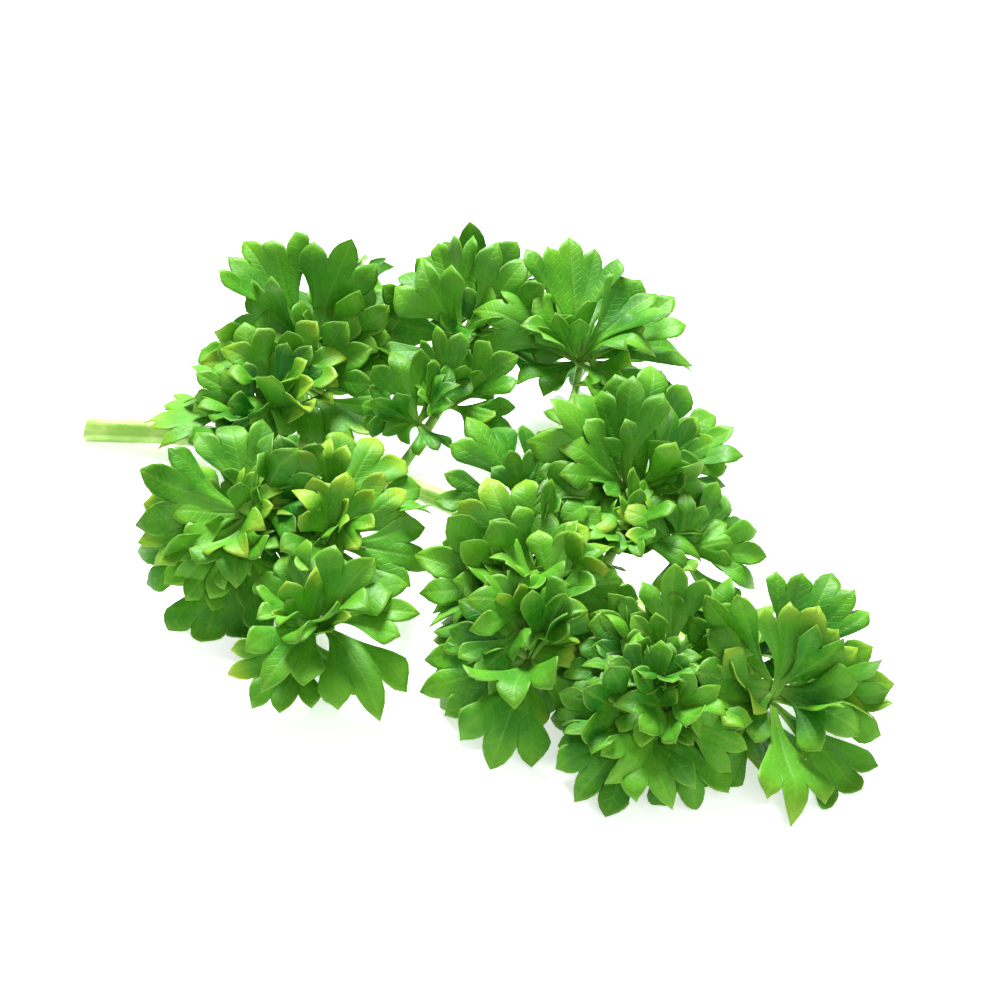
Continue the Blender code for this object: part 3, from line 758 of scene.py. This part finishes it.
class StemSettings(bpy.types.PropertyGroup):
    """Ribs and colour of the stem and the stalks."""

    ribs: bpy.props.IntProperty(name="Ribs", description="Ribs round the stem", default=5)
    rib_height: bpy.props.FloatProperty(
        name="Rib height", description="Height of a rib, as a share of the radius", default=0.11
    )
    stem_light: colour_setting("Stem light", "Light green of the stem", (0.46, 0.66, 0.17))
    stem_dark: colour_setting("Stem dark", "Dark green of the stem", (0.25, 0.47, 0.07))
    stalk_light: colour_setting("Stalk light", "Light green of the stalks", (0.32, 0.55, 0.10))
    stalk_dark: colour_setting("Stalk dark", "Dark green of the stalks", (0.15, 0.37, 0.04))


class StageSettings(bpy.types.PropertyGroup):
    """The camera, the floor and the light."""

    azimuth: bpy.props.FloatProperty(
        name="Azimuth", description="Camera's turn round the sprig", subtype="ANGLE", default=math.radians(33)
    )
    elevation: bpy.props.FloatProperty(
        name="Elevation",
        description="Camera's height above the horizon",
        subtype="ANGLE",
        default=math.radians(35),
    )
    distance: bpy.props.FloatProperty(
        name="Distance", description="From the camera to the sprig", unit="LENGTH", default=0.309
    )
    lens: bpy.props.FloatProperty(name="Lens", description="Focal length in mm", default=100.0)


# Operators


class PARSLEY_OT_leaflets(bpy.types.Operator):
    """Build the leaflets, in one object for each stalk that carries them"""

    bl_idname = "parsley.leaflets"
    bl_label = "Build Leaflets"

    def execute(self, context):
        look = context.scene.parsley_leaf
        leaflets = read_leaflets()
        if len(leaflets) < 40:
            raise RuntimeError(f"only {len(leaflets)} leaflets were found in the frame")
        material = leaf_material(look)
        lines = rod_lines()
        rng = np.random.default_rng(7)
        carried = {name: [] for name in lines}
        for leaflet in leaflets:
            near = {
                name: np.linalg.norm(line - leaflet["base"], axis=1).min()
                for name, line in lines.items()
            }
            carried[min(near, key=near.get)].append(leaflet)
        for name, own in carried.items():
            if not own:
                continue
            made, tints = [], []
            for leaflet in own:
                tint = rng.uniform()
                for axes, length, half, cup in segments_of(leaflet, look, rng):
                    made.append(segment(leaflet, axes, length, half, cup, look, rng))
                    tints.append(np.full(len(made[-1][0]), np.clip(tint + 0.25 * rng.uniform(-1, 1), 0, 1)))
            sizes = np.cumsum([0] + [len(one[0]) for one in made])
            points = np.concatenate([one[0] for one in made])
            faces = np.concatenate([one[1] + start for one, start in zip(made, sizes)])
            piece = new_object("leaflets_" + name, points, faces, material)
            add_values(piece, "leaf_sheet", np.concatenate([one[2] for one in made]))
            add_values(piece, "leaf_run", np.concatenate([one[3] for one in made]))
            add_values(piece, "leaf_top", np.concatenate([one[4] for one in made]))
            add_values(piece, "leaf_tint", np.concatenate(tints))
            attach(piece, "root")
            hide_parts(NODE)
        return {"FINISHED"}


class PARSLEY_OT_stems(bpy.types.Operator):
    """Build the stem, the side stalks and the short stalklets under the leaflets"""

    bl_idname = "parsley.stems"
    bl_label = "Build Stem and Stalks"

    def execute(self, context):
        look = context.scene.parsley_stem
        lines = rod_lines()
        pale = stem_material("parsley_stem", look.stem_light, look.stem_dark)
        green = stem_material("parsley_stalk", look.stalk_light, look.stalk_dark)
        line = lines.pop("stem")
        radii = STEM_RADIUS * np.linspace(1, 0.55, len(line))
        slant = math.tan(CUT_SLANT)
        stem = add_tubes("stem", [tube(line, radii, 56, look.ribs, look.rib_height, slant)], pale)
        tubes = [
            tube(way, STALK_RADIUS * np.linspace(1, 0.72, len(way)), 24, 5, 0.05) for way in lines.values()
        ]
        stalks = add_tubes("stalks", tubes, green)
        every = np.concatenate([line, *lines.values()])
        tubes = []
        for leaflet in read_leaflets():
            base, ahead, normal = leaflet["base"], leaflet["ahead"], leaflet["normal"]
            root = every[np.argmin(np.linalg.norm(every - base, axis=1))]
            radius = leaflet["radius"]
            inner = base + ahead * 0.12 * radius + normal * (0.5 * leaflet["step"] - 0.2 * MM)
            rise = leaflet["step"] + leaflet["cup"] * radius * 0.15 - 0.15 * MM
            end = base + ahead * 0.42 * radius + normal * rise
            way = smooth_line([root, base - 0.1 * MM * normal, inner, end], 6)
            way[:, 2] = np.maximum(way[:, 2], 0.45 * MM)
            tubes.append(tube(way, np.linspace(0.42, 0.10, len(way)) * MM, 12, 3, 0.06))
        stalklets = add_tubes("stalklets", tubes, green)
        for piece in (stem, stalks, stalklets):
            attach(piece, "root")
            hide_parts(NODE)
        return {"FINISHED"}


class PARSLEY_OT_stage(bpy.types.Operator):
    """Set up the camera, the pale floor and the soft light"""

    bl_idname = "parsley.stage"
    bl_label = "Build Stage"

    def execute(self, context):
        scene, look = context.scene, context.scene.parsley_stage
        low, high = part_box(NODE)
        target = (low + high) / 2 + Vector(TARGET_SHIFT)
        a, e = look.azimuth, look.elevation
        back = Vector((math.sin(a) * math.cos(e), -math.cos(a) * math.cos(e), math.sin(e)))
        camera = bpy.data.objects.new("camera", bpy.data.cameras.new("camera"))
        camera.data.lens, camera.data.sensor_width = look.lens, 36.0
        camera.data.clip_start, camera.data.clip_end = 0.01, 10.0
        camera.location = target + back * look.distance
        camera.rotation_euler = (-back).to_track_quat("-Z", "Y").to_euler()
        scene.collection.objects.link(camera)
        scene.camera = camera

        floor = bpy.data.meshes.new("floor")
        reach = 12 * (high - low).length
        corners = [(-reach, -reach, 0), (reach, -reach, 0), (reach, reach, 0), (-reach, reach, 0)]
        floor.from_pydata(corners, [], [(0, 1, 2, 3)])
        floor.materials.append(plain_material("floor_white", (0.93, 0.93, 0.93), 0.6, 0.55))
        floor = bpy.data.objects.new("floor", floor)
        scene.collection.objects.link(floor)

        world = bpy.data.worlds.new("studio")
        world.use_nodes = True
        world.node_tree.nodes["Background"].inputs["Color"].default_value = (1, 1, 1, 1)
        world.node_tree.nodes["Background"].inputs["Strength"].default_value = 0.31
        scene.world = world
        for name, place, size, power in LIGHTS:
            light = bpy.data.lights.new(name, "AREA")
            light.shape, light.size, light.energy = "DISK", size, power
            lamp = bpy.data.objects.new(name, light)
            lamp.location = place
            lamp.rotation_euler = (Vector((0, 0, 0.01)) - Vector(place)).to_track_quat("-Z", "Y").to_euler()
            scene.collection.objects.link(lamp)
        scene.view_settings.view_transform = "Standard"
        return {"FINISHED"}


class PARSLEY_PT_panel(bpy.types.Panel):
    """Lists the steps and their settings"""

    bl_idname = "PARSLEY_PT_panel"
    bl_label = "Curly Parsley Sprig"
    bl_space_type = "VIEW_3D"
    bl_region_type = "UI"
    bl_category = "Parsley"

    def draw(self, context):
        for operator, group in STEPS:
            self.layout.operator(operator.bl_idname)
            settings = getattr(context.scene, group)
            for name in settings.__annotations__:
                self.layout.prop(settings, name)


STEPS = (
    (PARSLEY_OT_leaflets, "parsley_leaf"),
    (PARSLEY_OT_stems, "parsley_stem"),
    (PARSLEY_OT_stage, "parsley_stage"),
)
SETTINGS = {"parsley_leaf": LeafSettings, "parsley_stem": StemSettings, "parsley_stage": StageSettings}


def register():
    """Add the settings, the operators and the panel."""
    for name, group in SETTINGS.items():
        bpy.utils.register_class(group)
        setattr(bpy.types.Scene, name, bpy.props.PointerProperty(type=group))
    for operator, _ in STEPS:
        bpy.utils.register_class(operator)
    bpy.utils.register_class(PARSLEY_PT_panel)


def unregister():
    """Take them away again."""
    bpy.utils.unregister_class(PARSLEY_PT_panel)
    for operator, _ in reversed(STEPS):
        bpy.utils.unregister_class(operator)
    for name, group in SETTINGS.items():
        delattr(bpy.types.Scene, name)
        bpy.utils.unregister_class(group)


def main():
    """Build everything."""
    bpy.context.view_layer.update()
    register()
    plant_group()
    bpy.ops.parsley.leaflets()
    bpy.ops.parsley.stems()
    bpy.ops.parsley.stage()
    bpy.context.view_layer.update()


if __name__ == "__main__":
    main()
